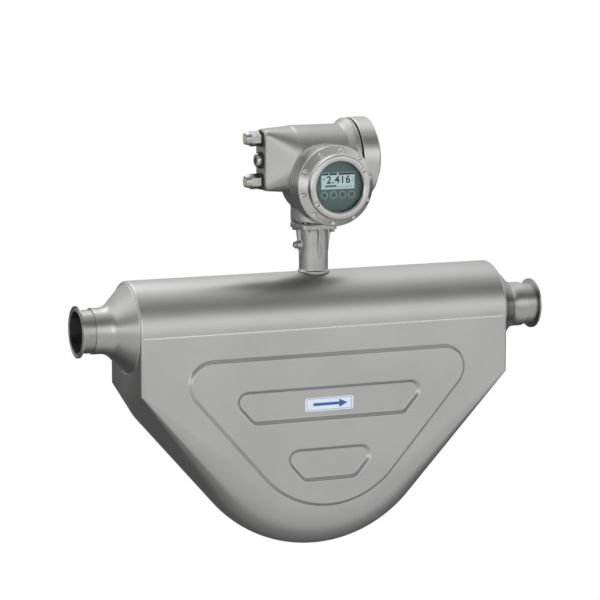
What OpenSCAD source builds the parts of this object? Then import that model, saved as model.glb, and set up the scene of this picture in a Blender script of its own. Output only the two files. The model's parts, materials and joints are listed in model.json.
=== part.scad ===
// Coriolis mass flow meter with a V-shaped sensor case, hygienic clamp connections
// and a two-compartment stainless transmitter head.
// Frame: origin at the centre of the inlet connection's face, +X along the flow,
// -Y towards the display, +Z up. Millimetres.

/* [Pipe connections] */
// Distance between the inlet face and the outlet face
face_to_face = 880; // [860:1:920]
// Outer diameter of the connection pipe
pipe_od = 76.1; // [74:0.1:78]
// Wall of the connection pipe
pipe_wall = 1.6; // [1.4:0.1:2.4]
// Outer diameter of the clamp ferrule
ferrule_od = 91; // [88:0.5:96]
// Width of the ferrule's rim
ferrule_rim = 2.9; // [2.4:0.1:4]
// Angle of the ferrule's clamping cone
clamp_angle = 20; // [15:1:25]
// Radius of the gasket groove's section
gasket_groove_r = 1.2; // [0.8:0.1:1.6]

/* [Sensor case] */
// Length of the case between its side walls
case_l = 700; // [680:1:720]
// Outer radius of the barrel and of the rounded lower edges
case_r = 84; // [82:0.5:88]
// Thickness of the case's sheet
case_wall = 3; // [2:0.25:4]
// Depth of the seam between barrel and pressed shells below the pipe axis
seam_drop = 7; // [4:1:14]
// Depth of the side walls' lower end below the pipe axis
side_drop = 108; // [100:1:114]
// Radius of the side walls' upright edges
side_edge_r = 6; // [5:0.5:8]
// Angle of the case's slopes below the horizontal
slope_angle = 48.9; // [47:0.1:50]
// Radius of the case's bottom outline
bottom_r = 248; // [242:1:254]
// Depth of the case's lowest point below the pipe axis
case_depth = 412; // [406:1:420]
// Radius of the barrel's rounded ends
barrel_end_r = 5; // [3:0.5:6]
// Radius of the openings in the case's ends
end_opening_r = 74; // [72:0.5:75]

/* [Pressed panels] */
// Height of the pressed triangle over the case's flat
emboss_h = 6; // [3:0.5:8]
// Width of the pressing's ramp
ramp_w = 7; // [5:0.5:9]
// Distance of the triangle's sides from the case's outline
triangle_inset = 84; // [80:1:88]
// Depth of the triangle's top edge below the pipe axis
triangle_top = 53; // [48:1:58]
// Corner radius of the triangle
triangle_r = 40; // [36:1:44]
// Distance of the recesses' sides from the case's outline
recess_inset = 133; // [130:0.5:136]
// Depth of the upper recess's top edge below the pipe axis
upper_recess_top = 114; // [108:1:118]
// Height of the upper recess
upper_recess_h = 57; // [52:1:62]
// Depth of the lower recess's top edge below the pipe axis
lower_recess_top = 229; // [224:1:234]
// Height of the lower recess
lower_recess_h = 56; // [52:1:60]
// Corner radius of the recesses
recess_r = 16.5; // [14:0.5:18]
// Width of the flow direction label
label_w = 92; // [80:1:100]
// Height of the flow direction label
label_h = 24; // [20:1:30]
// Thickness of the flow direction label
label_t = 0.6; // [0.4:0.1:1]

/* [Reducers and manifolds] */
// Length of a reducer's bell
bell_l = 50; // [46:1:54]
// Outer radius of the bell's large end
bell_r = 79; // [78:0.5:81]
// Radius of the bell's hollow curve
bell_curve_r = 28; // [24:1:34]
// Wall of the bell
bell_wall = 2.4; // [2:0.1:3]
// Length of the bell's collar on the pipe
collar_l = 14; // [10:1:18]
// Length of the pipe between collar face and ferrule joint inside the collar
pipe_joint_in = 8; // [4:1:9]
// Distance of the manifold's elbow from the middle of the meter
elbow_x = 338; // [334:1:342]
// Radius of a manifold port
port_r = 30; // [29:0.5:31]
// Length of a manifold port along the slope
port_l = 62; // [58:1:70]
// Depth of the tube's seat in a manifold port
socket_l = 22; // [16:1:26]

/* [Measuring tubes] */
// Outer diameter of a measuring tube
tube_od = 48.3; // [46:0.1:50]
// Wall of a measuring tube
tube_wall = 2.6; // [2:0.1:3.2]
// Distance between the two measuring tubes' axes
tube_pitch = 66; // [64:0.5:68]
// Bend radius of the measuring tubes
tube_bend_r = 150; // [144:1:156]
// Distance of the first brace plate from the elbow along the slope
brace_1 = 76; // [74:1:84]
// Distance of the second brace plate from the elbow along the slope
brace_2 = 106; // [100:1:116]
// Thickness of a brace plate
brace_t = 4; // [3:0.5:6]
// Margin of a brace plate around the tubes
brace_margin = 7; // [5:0.5:8]

/* [Drive and pick-offs] */
// Distance of the pick-off stations from the elbow along the slope
pickoff_s = 220; // [200:1:240]
// Height of the coil axes over a tube's surface
coil_rise = 22; // [20:0.5:26]
// Outer radius of a coil former
coil_r = 15; // [12:0.5:16]
// Length of a coil former
coil_l = 27; // [24:0.5:29]
// Radius of a coil former's bore
coil_bore_r = 9; // [8.5:0.25:10]
// Radius of a magnet
magnet_r = 6.5; // [5:0.25:7.5]
// Thickness of the brackets that carry coils and magnets
bracket_t = 3; // [2:0.5:4]
// Radius of the wiring loom
loom_r = 2.5; // [1.5:0.25:3]

/* [Neck] */
// Distance of the neck's axis from the middle of the meter
neck_x = 4; // [0:0.5:6]
// Outer radius of the neck
neck_r = 26; // [25:0.5:27]
// Wall of the neck
neck_wall = 5; // [4:0.5:6]
// Height of the neck flange's top over the pipe axis
neck_top = 170.5; // [168:0.5:176]
// Side of the neck's square flange
flange_side = 67; // [64:1:70]
// Thickness of the neck's flange
flange_t = 10; // [8:0.5:12]
// Distance of the flange screws from the neck's axis, along X and Y
screw_xy = 25.5; // [25:0.25:26]
// Radius of the flange screws' shank
screw_r = 3; // [2.5:0.25:3]
// Height of the ribs' lower end over the pipe axis
rib_bottom = 103; // [98:1:112]
// Thickness of a rib
rib_t = 6; // [5:0.5:8]
// Thickness of the gasket on the flange
gasket_t = 1.5; // [1:0.25:2]
// Height of the earth screw over the pipe axis
earth_z = 132; // [128:1:136]

/* [Transmitter housing] */
// Height of the terminal compartment's axis over the pipe axis
terminal_z = 285.5; // [283:0.5:288]
// Height of the display compartment's axis over the pipe axis
display_z = 246; // [244:0.5:248]
// Outer radius of the compartments
barrel_r = 60; // [59:0.5:62]
// Outer radius of the covers
cover_r = 71; // [70:0.25:72]
// Distance of the terminal collar's face from the neck's axis
terminal_face = 66; // [65:0.5:68]
// Distance of the display collar's face from the neck's axis
display_face = 66.5; // [65:0.5:68]
// Width of the terminal cover's sealing gap
terminal_gap = 2; // [1.6:0.1:2.4]
// Width of the display cover's sealing gap
display_gap = 1.5; // [1.2:0.1:2]
// Radius of the threaded spigots
spigot_r = 62.9; // [62:0.1:64]
// Length of the threaded spigots from the collar's face
spigot_l = 25; // [22:0.5:26]
// Inner radius of the compartments at their mouths
mouth_r = 53; // [52:0.5:54]
// Running clearance of a cover's thread
thread_gap = 0.1; // [0.05:0.01:0.1]
// Distance of the cable entry face from the neck's axis
entry_x = 101; // [99:0.5:104]
// Height of the cable entry face
entry_h = 108; // [104:1:112]
// Depth of the cable entry face, front to back
entry_w = 52; // [50:1:56]
// Wall of the cable entry face
entry_wall = 9; // [8:0.5:11]
// Radius of the pedestal
pedestal_r = 41; // [40:0.5:44]

/* [Covers] */
// Length of a cover's skirt
skirt_l = 33; // [31:0.5:36]
// Length of a cover's conical shoulder
shoulder_l = 12; // [10:0.5:13]
// Outer radius of the raised ring
ring_r = 57; // [56:0.5:58]
// Total length of the display cover
display_cover_l = 56.5; // [55:0.5:58]
// Total length of the terminal cover
terminal_cover_l = 39; // [37:0.5:42]
// Radius of the window's aperture
aperture_r = 44; // [43:0.5:45]
// Thickness of the window
window_t = 6; // [5:0.5:7]
// Number of key pockets in a cover's shoulder
pocket_count = 10; // [8:1:12]
// Radius of a key pocket
pocket_r = 3.6; // [3:0.1:4]

/* [Display] */
// Depth of the faceplate behind the cover's front
faceplate_depth = 13; // [12.5:0.25:14]
// Width of the liquid crystal panel
lcd_w = 63; // [58:1:66]
// Height of the liquid crystal panel
lcd_h = 29; // [26:1:31]
// Height of the panel's middle over the display axis
lcd_rise = 10; // [9:0.5:11]
// Radius of an optical key
key_r = 5.4; // [5:0.1:6]
// Distance between the optical keys
key_pitch = 17.1; // [15:0.1:18]
// Height of the keys below the display axis
key_drop = 14.5; // [14:0.5:16]

/* [Cable entries] */
// Height of the upper gland over the terminal axis
upper_gland_dz = 38.5; // [36:0.5:39]
// Height of the lower gland below the terminal axis
lower_gland_dz = 37; // [35:0.5:38]
// Radius of the entries' thread
entry_r = 10; // [9:0.25:10.5]
// Width across the flats of a gland's hexagon
gland_af = 24; // [23:0.5:26]
// Length of a gland over its seal
gland_l = 27; // [26:0.5:30]
// Outer radius of the sealing washers
washer_r = 14.8; // [14:0.1:16]
// Thickness of the sealing washers
washer_t = 3; // [2:0.25:3.5]

/* [Hidden] */
$fn = 96;
e = 0.01;

// case outline: the slopes touch the bottom arc and the corner spheres
mid_x = face_to_face / 2;
case_x = case_l / 2;
bottom_z = bottom_r - case_depth;
corner_x = case_x - case_r;
corner_z = bottom_z + (corner_x * sin(slope_angle) - bottom_r + case_r) / cos(slope_angle);

// pipe, reducers and manifolds
pipe_r = pipe_od / 2;
bore_r = pipe_r - pipe_wall;
joint_x = case_x + bell_l + pipe_joint_in;
collar_r = pipe_r + bell_wall;
elbow_r = pipe_r + 8;
port_start = 12;
passage_r = 18;
port_swell = 2;
bore_depth = 6;

// measuring tubes
tube_r = tube_od / 2;
tube_y = tube_pitch / 2;
bend_z = (tube_bend_r - elbow_x * sin(slope_angle)) / cos(slope_angle);
tube_start = port_l - socket_l;
leg_l = (elbow_x - tube_bend_r * sin(slope_angle)) / cos(slope_angle) - tube_start;
leg_seat = 1;
leg_draw = 0.05;

// drive, pick-offs and loom
coil_z = tube_r + coil_rise;
coil_y = -tube_y + coil_l / 2;
loom_rise = coil_z + coil_r + loom_r;
groove_d = 2;
magnet_base_t = 4;
bracket_w = 16;
bushing_z = case_r - 8;
bushing_h = 16;
pin_l = 34;
loom_fork = [0, 0, -60];
loom_fork_r = loom_r + 1.5;
loom_drive_end = [0, coil_y, bend_z - tube_bend_r + loom_rise];
loom_pickoff_end = [elbow_x - pickoff_s * cos(slope_angle) - loom_rise * sin(slope_angle), coil_y,
                    -pickoff_s * sin(slope_angle) + loom_rise * cos(slope_angle)];

// neck
neck_bore_r = neck_r - neck_wall;
weld_w = 3;
weld_h = 1.5;
flange_corner_r = 8;
screw_hole_r = screw_r + 0.25;
screw_head_h = 5;
screw_af = 9;
screw_depth = 12;
earth_boss_r = 8;
earth_boss_l = neck_r + 5;
earth_clamp_t = 2;
earth_tab = 1.5;

// transmitter housing
pedestal_z = neck_top + gasket_t;
pedestal_chamfer = 3;
collar_w = 9;
flare_l = 12;
terminal_bore_r = 50;
terminal_floor = -34;
display_floor = 54;
duct_r = 15;
duct_rise = 2;
duct_z = display_z - mouth_r + duct_r + duct_rise;
passage_rise = 24;
passage_hole_r = 6;
entry_y = -1;
entry_corner_r = 12;
entry_chamfer = 5;
cable_end_x = -46;

// covers, drawn from their base at the sealing gap
display_base = display_face + display_gap;
terminal_base = terminal_face + terminal_gap;
window_r = 50;
window_lip = 5.5;
window_seat = display_cover_l - window_lip;
retainer_t = 3;
shoulder_step = 9;
pocket_angle = 12;
slot_angle = 33;
slot_w = 8;

// display and electronics
faceplate_front = display_cover_l - faceplate_depth;
faceplate_r = aperture_r + 2;
faceplate_t = 2.5;
faceplate_l = 14;
lcd_depth = 1;
stack_r = mouth_r - 5;
stud_ring = faceplate_r - 7;
stud_r = 1.3;
stud_pad_r = 6;
board_t = 1.6;
board_z = faceplate_front - faceplate_l - board_t;
carrier_z = display_floor - display_base;
carrier_l = board_z - carrier_z;
carrier_rim = spigot_l - 1;
carrier_floor = 2;

// cable entries
gland_hex_r = gland_af / 2 / cos(30);
gland_hex_h = 6;
gland_bore_r = 6.6;
gland_thread_r = entry_r - 1;
gland_thread_end = washer_t + 17;
nut_start = washer_t + 7;
nut_l = gland_l + washer_t - nut_start;

steel = [0.70, 0.70, 0.69];
satin = [0.64, 0.64, 0.63];
cast = [0.76, 0.76, 0.75];
bolt_steel = [0.6, 0.6, 0.6];
copper = [0.72, 0.40, 0.16];
magnet_grey = [0.35, 0.35, 0.37];
board_green = [0.10, 0.35, 0.20];
black = [0.06, 0.06, 0.06];

// ---------------------------------------------------------------- helpers

// Moves what is drawn about the middle of the meter to its place from the inlet face
module centred() { translate([mid_x, 0, 0]) children(); }

// The same for what is drawn about the neck's axis
module head() { translate([mid_x + neck_x, 0, 0]) children(); }

// side = -1 for the inlet half, 1 for the outlet half
module on_side(side) { mirror([side < 0 ? 1 : 0, 0, 0]) children(); }

// Turns a revolved shape's axis from +Z to the named direction
module along_x() { rotate([0, 90, 0]) children(); }
module along_front() { rotate([90, 0, 0]) children(); }

function unit(v) = v / norm(v);

// Points of a rounded corner b = [x, y, radius] between its neighbours a and c
function corner(a, b, c) =
    let (p = [b[0], b[1]], u = unit([a[0], a[1]] - p), v = unit([c[0], c[1]] - p),
         half = acos(u * v) / 2, m = p + unit(u + v) * b[2] / sin(half),
         s = p + u * b[2] / tan(half) - m, a0 = atan2(s[1], s[0]),
         turn = (u[0] * v[1] - u[1] * v[0] < 0 ? 1 : -1) * (180 - 2 * half),
         n = max(3, ceil(abs(turn) / 12)))
    [for (i = [0:n]) m + b[2] * [cos(a0 + turn * i / n), sin(a0 + turn * i / n)]];

function rounded(p) =
    [for (i = [0:len(p) - 1])
        each corner(p[(i + len(p) - 1) % len(p)], p[i], p[(i + 1) % len(p)])];

// Rounded rectangle about [0, y]
function rounded_box(w, h, r, y = 0) =
    rounded([[-w / 2, y + h / 2, r], [w / 2, y + h / 2, r], [w / 2, y - h / 2, r], [-w / 2, y - h / 2, r]]);

// A straight round rod between two points
module rod(p, q, r) {
    v = q - p;
    translate(p) rotate([0, acos(v[2] / norm(v)), atan2(v[1], v[0])]) cylinder(r = r, h = norm(v));
}

// Hexagon head screw, head below, shank along +Z
module hex_screw(l) {
    cylinder(r = screw_af / 2 / cos(30), h = screw_head_h, $fn = 6);
    cylinder(r = screw_r, h = screw_head_h + l);
}

// ---------------------------------------------------------------- sensor case

// Distance from the middle plane of a line parallel to the slope, inset from the outline
function slope_x(z, inset) =
    (bottom_r - inset + (z - bottom_z) * cos(slope_angle)) / sin(slope_angle);

// The case below the height top, its walls set in by w
module case_form(w, top, steps) hull() {
    for (x = [-1, 1], y = [-1, 1])
        translate([x * (case_x - side_edge_r), y * (case_r - side_edge_r), -side_drop])
            cylinder(r = side_edge_r - w, h = side_drop + top, $fn = steps / 2);
    for (s = [-1, 1]) translate([s * corner_x, 0, corner_z])
        sphere(r = case_r - w, $fn = steps);
    translate([0, 0, bottom_z]) rotate([90, 0, 0])
        rotate([0, 0, -90 - slope_angle]) rotate_extrude(angle = 2 * slope_angle, $fn = steps * 2)
            translate([bottom_r - case_r, 0]) circle(r = case_r - w, $fn = steps);
}

// Outlines of the pressings in the XZ plane, shrunk by d
function triangle_outline(d) =
    let (z = -triangle_top - d, i = triangle_inset + d, r = triangle_r - d)
    rounded([[-slope_x(z, i), z, r], [slope_x(z, i), z, r],
             [0, bottom_z - (bottom_r - i) / cos(slope_angle), bottom_r - i]]);

function recess_outline(top, h, d) =
    let (z0 = -top - d, z1 = -top - h + d, i = recess_inset + d, r = recess_r - d)
    rounded([[-slope_x(z0, i), z0, r], [slope_x(z0, i), z0, r],
             [slope_x(z1, i), z1, r], [-slope_x(z1, i), z1, r]]);

// A plate of the outline, t thick, whose front lies at -y
module plate(outline, y, t) {
    translate([0, t - y, 0]) rotate([90, 0, 0]) linear_extrude(t) polygon(outline);
}

module triangle_pad() hull() {
    plate(triangle_outline(-ramp_w / 2), case_r, 1);
    plate(triangle_outline(ramp_w / 2), case_r + emboss_h, 1);
}

module recess_cut(top, h) hull() {
    plate(recess_outline(top, h, ramp_w / 2), case_r, e);
    plate(recess_outline(top, h, -ramp_w / 2), case_r + emboss_h + e, e);
}

// The hollow behind the pressing follows it at the sheet's thickness
module pressed_hollow() difference() {
    plate(triangle_outline((ramp_w + case_wall) / 2), case_r + emboss_h - case_wall, emboss_h + 1);
    for (t = [[upper_recess_top, upper_recess_h], [lower_recess_top, lower_recess_h]])
        plate(recess_outline(t[0], t[1], -(ramp_w + case_wall) / 2), case_r + emboss_h,
              emboss_h + case_wall);
}

module pressed_shell() difference() {
    union() {
        case_form(0, -seam_drop, 48);
        triangle_pad();
    }
    recess_cut(upper_recess_top, upper_recess_h);
    recess_cut(lower_recess_top, lower_recess_h);
    case_form(case_wall, 1, 24);
    pressed_hollow();
    translate([-case_l, 0, -2 * case_depth]) cube([2 * case_l, case_l, 4 * case_depth]);
    along_x() cylinder(r = end_opening_r, h = 2 * case_l, center = true);
}

module front_shell() color(satin) centred() pressed_shell();

module rear_shell() color(satin) centred() mirror([0, 1, 0]) pressed_shell();

module barrel_profile() difference() {
    union() {
        translate([0, -case_x + barrel_end_r]) square([case_r, case_l - 2 * barrel_end_r]);
        translate([0, -case_x]) square([case_r - barrel_end_r, case_l]);
        for (s = [-1, 1]) translate([case_r - barrel_end_r, s * (case_x - barrel_end_r)])
            circle(r = barrel_end_r);
    }
    translate([-e, -case_x + case_wall]) square([case_r - case_wall + e, case_l - 2 * case_wall]);
    translate([-e, -case_x - 1]) square([end_opening_r + e, case_l + 2]);
}

module top_barrel() color(satin) difference() {
    centred() along_x() rotate_extrude() barrel_profile();
    translate([-case_l, -case_l / 2, -case_l - seam_drop]) cube([3 * case_l, case_l, case_l]);
    head() cylinder(r = neck_bore_r, h = 2 * case_r);
}

module flow_label() color([0.86, 0.92, 0.98]) centred()
    plate(rounded_box(label_w, label_h, 3, -upper_recess_top - upper_recess_h / 2),
          case_r + label_t, label_t);

// ---------------------------------------------------------------- connections

// Bell between the case's end and the collar on the pipe, as radius over distance from the middle.
// rb is its radius at the case, rn its radius at the collar, rc the radius of its hollow curve.
module bell_section(rb, rn, rc) {
    c = [rn + rc, case_x + bell_l];
    b = [rb, case_x];
    d = norm(c - b);
    a = atan2(c[1] - b[1], c[0] - b[0]) + asin(rc / d);
    t = b + sqrt(d * d - rc * rc) * [cos(a), sin(a)];
    difference() {
        polygon([[0, case_x], b, t, [rn, case_x + bell_l],
                 [rn, case_x + bell_l + collar_l], [0, case_x + bell_l + collar_l]]);
        translate(c) circle(r = rc);
    }
}

module reducer() color(steel) along_x() rotate_extrude() difference() {
    bell_section(bell_r, collar_r, bell_curve_r);
    bell_section(bell_r - 1.4 * bell_wall, pipe_r, bell_curve_r + bell_wall);
    translate([0, case_x - e]) square([pipe_r, 2 * bell_l]);
}

module ferrule() color(steel) {
    face_r = ferrule_od / 2;
    back = (face_r - pipe_r) * tan(clamp_angle);
    along_x() rotate_extrude() difference() {
        polygon([[bore_r, joint_x], [pipe_r, joint_x], [pipe_r, mid_x - ferrule_rim - back],
                 [face_r, mid_x - ferrule_rim], [face_r, mid_x], [bore_r, mid_x]]);
        translate([(face_r + bore_r) / 2, mid_x + gasket_groove_r / 3]) circle(r = gasket_groove_r);
    }
}

module inlet_reducer() centred() on_side(-1) reducer();
module outlet_reducer() centred() reducer();
module inlet_ferrule() centred() on_side(-1) ferrule();
module outlet_ferrule() centred() ferrule();

// ---------------------------------------------------------------- flow path inside the case

// Puts what is drawn along +Z on the slope of the outlet side, s from the manifold's elbow
module on_slope(s) {
    translate([elbow_x, 0, 0]) rotate([0, -90 - slope_angle, 0]) translate([0, 0, s]) children();
}

module both_tubes() for (s = [-1, 1]) translate([0, s * tube_y, 0]) children();

// Casting that joins the pipe to the two tubes, with a cross passage between its ports
module manifold() color(steel) difference() {
    union() {
        translate([elbow_x, 0, 0]) {
            sphere(r = elbow_r);
            along_x() cylinder(r = pipe_r, h = joint_x - elbow_x);
        }
        on_slope(port_start) along_front()
            cylinder(r = port_r + port_swell, h = tube_pitch + port_r, center = true);
        on_slope(port_start) both_tubes() cylinder(r = port_r, h = port_l - port_start);
    }
    translate([elbow_x - bore_depth, 0, 0]) along_x() cylinder(r = bore_r, h = joint_x);
    on_slope(port_start) along_front() cylinder(r = passage_r, h = tube_pitch, center = true);
    on_slope(port_start) both_tubes() cylinder(r = tube_r - tube_wall, h = port_l);
    on_slope(tube_start) both_tubes() cylinder(r = tube_r, h = port_l);
}

module inlet_manifold() centred() on_side(-1) manifold();
module outlet_manifold() centred() manifold();

module on_legs() for (s = [-1, 1]) on_side(s) on_slope(tube_start) children();

module along_bend() translate([0, 0, bend_z]) along_front() rotate([0, 0, -90 - slope_angle])
    rotate_extrude(angle = 2 * slope_angle) translate([tube_bend_r, 0]) children();

module tube_section(m) difference() {
    circle(r = tube_r - m);
    circle(r = tube_r - tube_wall + m);
}

// The legs are drawn down a little, so that their ends sit inside the bend's wall
module measuring_tube() color(steel) {
    on_legs() linear_extrude(leg_l + leg_seat) tube_section(leg_draw);
    along_bend() tube_section(0);
}

module front_measuring_tube() centred() translate([0, -tube_y, 0]) measuring_tube();
module rear_measuring_tube() centred() translate([0, tube_y, 0]) measuring_tube();

module brace(s) color(satin) on_slope(s) linear_extrude(brace_t) difference() {
    union() {
        both_tubes() circle(r = tube_r + brace_margin);
        translate([-tube_r, -tube_y]) square([2 * tube_r, tube_pitch]);
    }
    both_tubes() circle(r = tube_r);
}

module inlet_upper_brace() centred() on_side(-1) brace(brace_1);
module inlet_lower_brace() centred() on_side(-1) brace(brace_2);
module outlet_upper_brace() centred() brace(brace_1);
module outlet_lower_brace() centred() brace(brace_2);

// ---------------------------------------------------------------- drive and pick-offs

// Stations where +X runs along the tubes, +Z points away from them into the V
module drive_station() translate([0, 0, bend_z - tube_bend_r]) children();
module pickoff_station(side) on_side(side) on_slope(pickoff_s) rotate([0, -90, 0]) children();

module all_stations() {
    drive_station() children();
    for (s = [-1, 1]) pickoff_station(s) children();
}

// Upright plates on one tube, each a seat for a coil or a magnet
module brackets() color(steel) difference() {
    all_stations() translate([-bracket_w / 2, -tube_y - bracket_t, tube_r - bracket_t])
        cube([bracket_w, bracket_t, coil_rise + coil_r + bracket_t]);
    translate([0, -tube_y, 0]) {
        on_legs() cylinder(r = tube_r, h = leg_l);
        along_bend() circle(r = tube_r);
    }
}

module coil() color(copper) translate([0, -tube_y, coil_z]) rotate([-90, 0, 0]) rotate_extrude()
    difference() {
        translate([coil_bore_r, 0]) square([coil_r - coil_bore_r, coil_l]);
        translate([coil_r - groove_d, groove_d]) square([groove_d + e, coil_l - 2 * groove_d]);
    }

module magnet() color(magnet_grey) translate([0, tube_y, coil_z]) along_front() {
    cylinder(r = coil_r - 1, h = magnet_base_t);
    cylinder(r = magnet_r, h = tube_pitch - coil_l / 2);
}

module coil_brackets() centred() brackets();
module magnet_brackets() centred() mirror([0, 1, 0]) brackets();
module drive_coil() centred() drive_station() coil();
module drive_magnet() centred() drive_station() magnet();
module inlet_pickoff_coil() centred() pickoff_station(-1) coil();
module inlet_pickoff_magnet() centred() pickoff_station(-1) magnet();
module outlet_pickoff_coil() centred() pickoff_station(1) coil();
module outlet_pickoff_magnet() centred() pickoff_station(1) magnet();

module temperature_sensor() color([0.85, 0.83, 0.76]) centred()
    on_side(-1) on_slope(brace_2 + 24) translate([-tube_r - 3, -tube_y, 0]) cylinder(r = 3, h = 28);

// Glass-sealed electrical bushing in the barrel's top, inside the neck
module feedthrough() color([0.35, 0.42, 0.40]) head() {
    translate([0, 0, bushing_z]) cylinder(r = neck_bore_r, h = bushing_h);
    for (a = [0:40:320]) rotate([0, 0, a])
        translate([neck_bore_r * 0.62, 0, bushing_z - (pin_l - bushing_h) / 2]) cylinder(r = 1, h = pin_l);
}

// The loom forks in the middle of the V and ends on the coils
module wiring_loom() color([0.78, 0.74, 0.62]) centred() union() {
    rod(loom_fork, [neck_x, 0, bushing_z], loom_r);
    translate(loom_fork) sphere(r = loom_fork_r);
    rod(loom_fork, loom_drive_end, loom_r);
    for (s = [-1, 1])
        rod(loom_fork, [s * loom_pickoff_end[0], loom_pickoff_end[1], loom_pickoff_end[2]], loom_r);
}

// ---------------------------------------------------------------- neck

module at_screws() for (x = [-1, 1], y = [-1, 1]) translate([x * screw_xy, y * screw_xy, 0]) children();

// Puts what is drawn along +Z on the earth boss, pointing out of the neck
module at_earth(z) head() translate([-z, 0, earth_z]) rotate([0, -90, 0]) children();

module neck() color(cast) difference() {
    union() {
        head() cylinder(r = neck_r, h = neck_top);
        head() cylinder(r = neck_r + weld_w, h = case_r + weld_h);
        head() translate([0, 0, neck_top - flange_t]) linear_extrude(flange_t)
            polygon(rounded_box(flange_side, flange_side, flange_corner_r));
        head() for (a = [0:90:270]) rotate([0, 0, a]) along_front()
            translate([0, 0, -rib_t / 2]) linear_extrude(rib_t)
                polygon([[0, rib_bottom], [neck_r - 0.5, rib_bottom],
                         [flange_side / 2, neck_top - flange_t + e], [0, neck_top - flange_t + e]]);
        at_earth(0) cylinder(r = earth_boss_r, h = earth_boss_l);
    }
    head() translate([0, 0, -1]) cylinder(r = neck_bore_r, h = neck_top + 2);
    head() along_x() cylinder(r = case_r, h = 4 * case_r, center = true);
    head() at_screws() cylinder(r = screw_hole_r, h = neck_top + 1);
    at_earth(neck_r - 3) cylinder(r = screw_r, h = earth_boss_l);
}

module neck_gasket() color(black) head() translate([0, 0, neck_top])
    linear_extrude(gasket_t) difference() {
        polygon(rounded_box(flange_side - 2, flange_side - 2, flange_corner_r));
        circle(r = neck_bore_r);
        for (x = [-1, 1], y = [-1, 1]) translate([x * screw_xy, y * screw_xy]) circle(r = screw_hole_r);
    }

module flange_screws() color(bolt_steel) head() at_screws()
    translate([0, 0, neck_top - flange_t - screw_head_h]) hex_screw(flange_t + gasket_t + screw_depth);

module earth_clamp() color(steel) at_earth(earth_boss_l) difference() {
    union() {
        cylinder(r = earth_boss_r - 1, h = earth_clamp_t);
        translate([-earth_boss_r + 1, -2.5, 0]) cube([earth_tab, 5, earth_clamp_t + earth_tab]);
    }
    translate([0, 0, -1]) cylinder(r = screw_r, h = earth_clamp_t + 2);
}

module earth_screw() color(bolt_steel) at_earth(earth_boss_l + earth_clamp_t + screw_head_h)
    rotate([180, 0, 0]) hex_screw(earth_clamp_t + 8);

// ---------------------------------------------------------------- transmitter housing

// Compartment from z = start to its collar's face at f, and the threaded spigot beyond
module compartment(start, f) rotate_extrude() polygon([
    [0, start], [barrel_r, start], [barrel_r, f - flare_l - collar_w], [cover_r - 1, f - collar_w],
    [cover_r - 1, f], [spigot_r, f], [spigot_r, f + spigot_l - 1], [spigot_r - 1, f + spigot_l],
    [0, f + spigot_l]]);

// The barrel's end, drawn out to the flat with the cable entries
module cable_end() hull() {
    for (m = [0, 1]) translate([-entry_x + m * entry_chamfer, 0, 0]) along_x() linear_extrude(1)
        polygon(rounded_box(entry_h - 8 * (1 - m), entry_w - 8 * (1 - m), entry_corner_r - 2 * (1 - m)));
    translate([cable_end_x + 2, 0, 0]) along_x() cylinder(r = barrel_r - 1, h = 14, $fn = 64);
}

// Room for the skirt of one compartment's cover, cut into the other compartment
module skirt_room(f) translate([0, 0, f]) rotate_extrude()
    translate([spigot_r - 2, 0]) square([cover_r + 1 - spigot_r + 2, spigot_l]);

module transmitter_housing() color(cast) head() difference() {
    union() {
        difference() {
            translate([0, 0, terminal_z]) {
                along_x() compartment(cable_end_x, terminal_face);
                cable_end();
            }
            translate([0, 0, display_z]) along_front() skirt_room(display_face);
        }
        difference() {
            translate([0, 0, display_z]) along_front() compartment(-10, display_face);
            translate([0, 0, terminal_z]) along_x() skirt_room(terminal_face);
        }
        translate([0, 0, pedestal_z]) {
            cylinder(r1 = pedestal_r - pedestal_chamfer, r2 = pedestal_r, h = pedestal_chamfer);
            translate([0, 0, pedestal_chamfer])
                cylinder(r = pedestal_r, h = terminal_z - pedestal_z - 20);
        }
    }
    // terminal compartment, its mouth and the pocket behind the cable entries
    translate([terminal_floor, 0, terminal_z]) along_x() cylinder(r = terminal_bore_r, h = 200);
    translate([terminal_face - 6, 0, terminal_z]) along_x() cylinder(r = mouth_r, h = 200);
    translate([-entry_x + entry_wall, -15, terminal_z - 46])
        cube([entry_x - entry_wall + terminal_floor + 1, 30, 92]);
    // display compartment, and the passage through to the terminals
    translate([0, -display_floor, display_z]) along_front() cylinder(r = mouth_r, h = 200);
    translate([0, -terminal_bore_r + 10, display_z + passage_rise]) along_front()
        cylinder(r = passage_hole_r, h = 30);
    // duct from the neck to the display compartment
    translate([0, 0, pedestal_z - 1]) cylinder(r = duct_r, h = duct_z - pedestal_z + 1);
    translate([0, 0, duct_z]) sphere(r = duct_r);
    translate([0, 0, duct_z]) along_front() cylinder(r = duct_r, h = display_floor + 1);
    translate([0, 0, pedestal_z - 1]) at_screws() cylinder(r = screw_r, h = screw_depth + 1.5);
    for (z = [-lower_gland_dz, 0, upper_gland_dz])
        translate([-entry_x - 1, entry_y, terminal_z + z]) along_x() cylinder(r = entry_r, h = entry_wall + 2);
}

// ---------------------------------------------------------------- covers

// Display and terminal pieces are drawn with +Z outwards from the cover's base
module at_display(z) head() translate([0, -display_base - z, display_z]) along_front() children();
module at_terminal(z) head() translate([terminal_base + z, 0, terminal_z]) along_x() children();

// Sealing ring in the gap between a collar and its cover
module cover_seal(gap) color(black) translate([0, 0, -gap / 2]) rotate_extrude()
    translate([(cover_r + spigot_r - 1) / 2, 0]) circle(r = gap / 2 - 0.04, $fn = 32);

// Thread bore of a cover
module cover_thread() translate([0, -e]) square([spigot_r + thread_gap, spigot_l + 1 + e]);

// Pockets for a hook key, whose floor lies at z
module key_pockets(z) for (i = [0:pocket_count - 1])
    rotate([0, 0, pocket_angle + i * 360 / pocket_count])
        translate([(cover_r + ring_r) / 2, 0, z]) cylinder(r = pocket_r, h = 20, $fn = 32);

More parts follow.
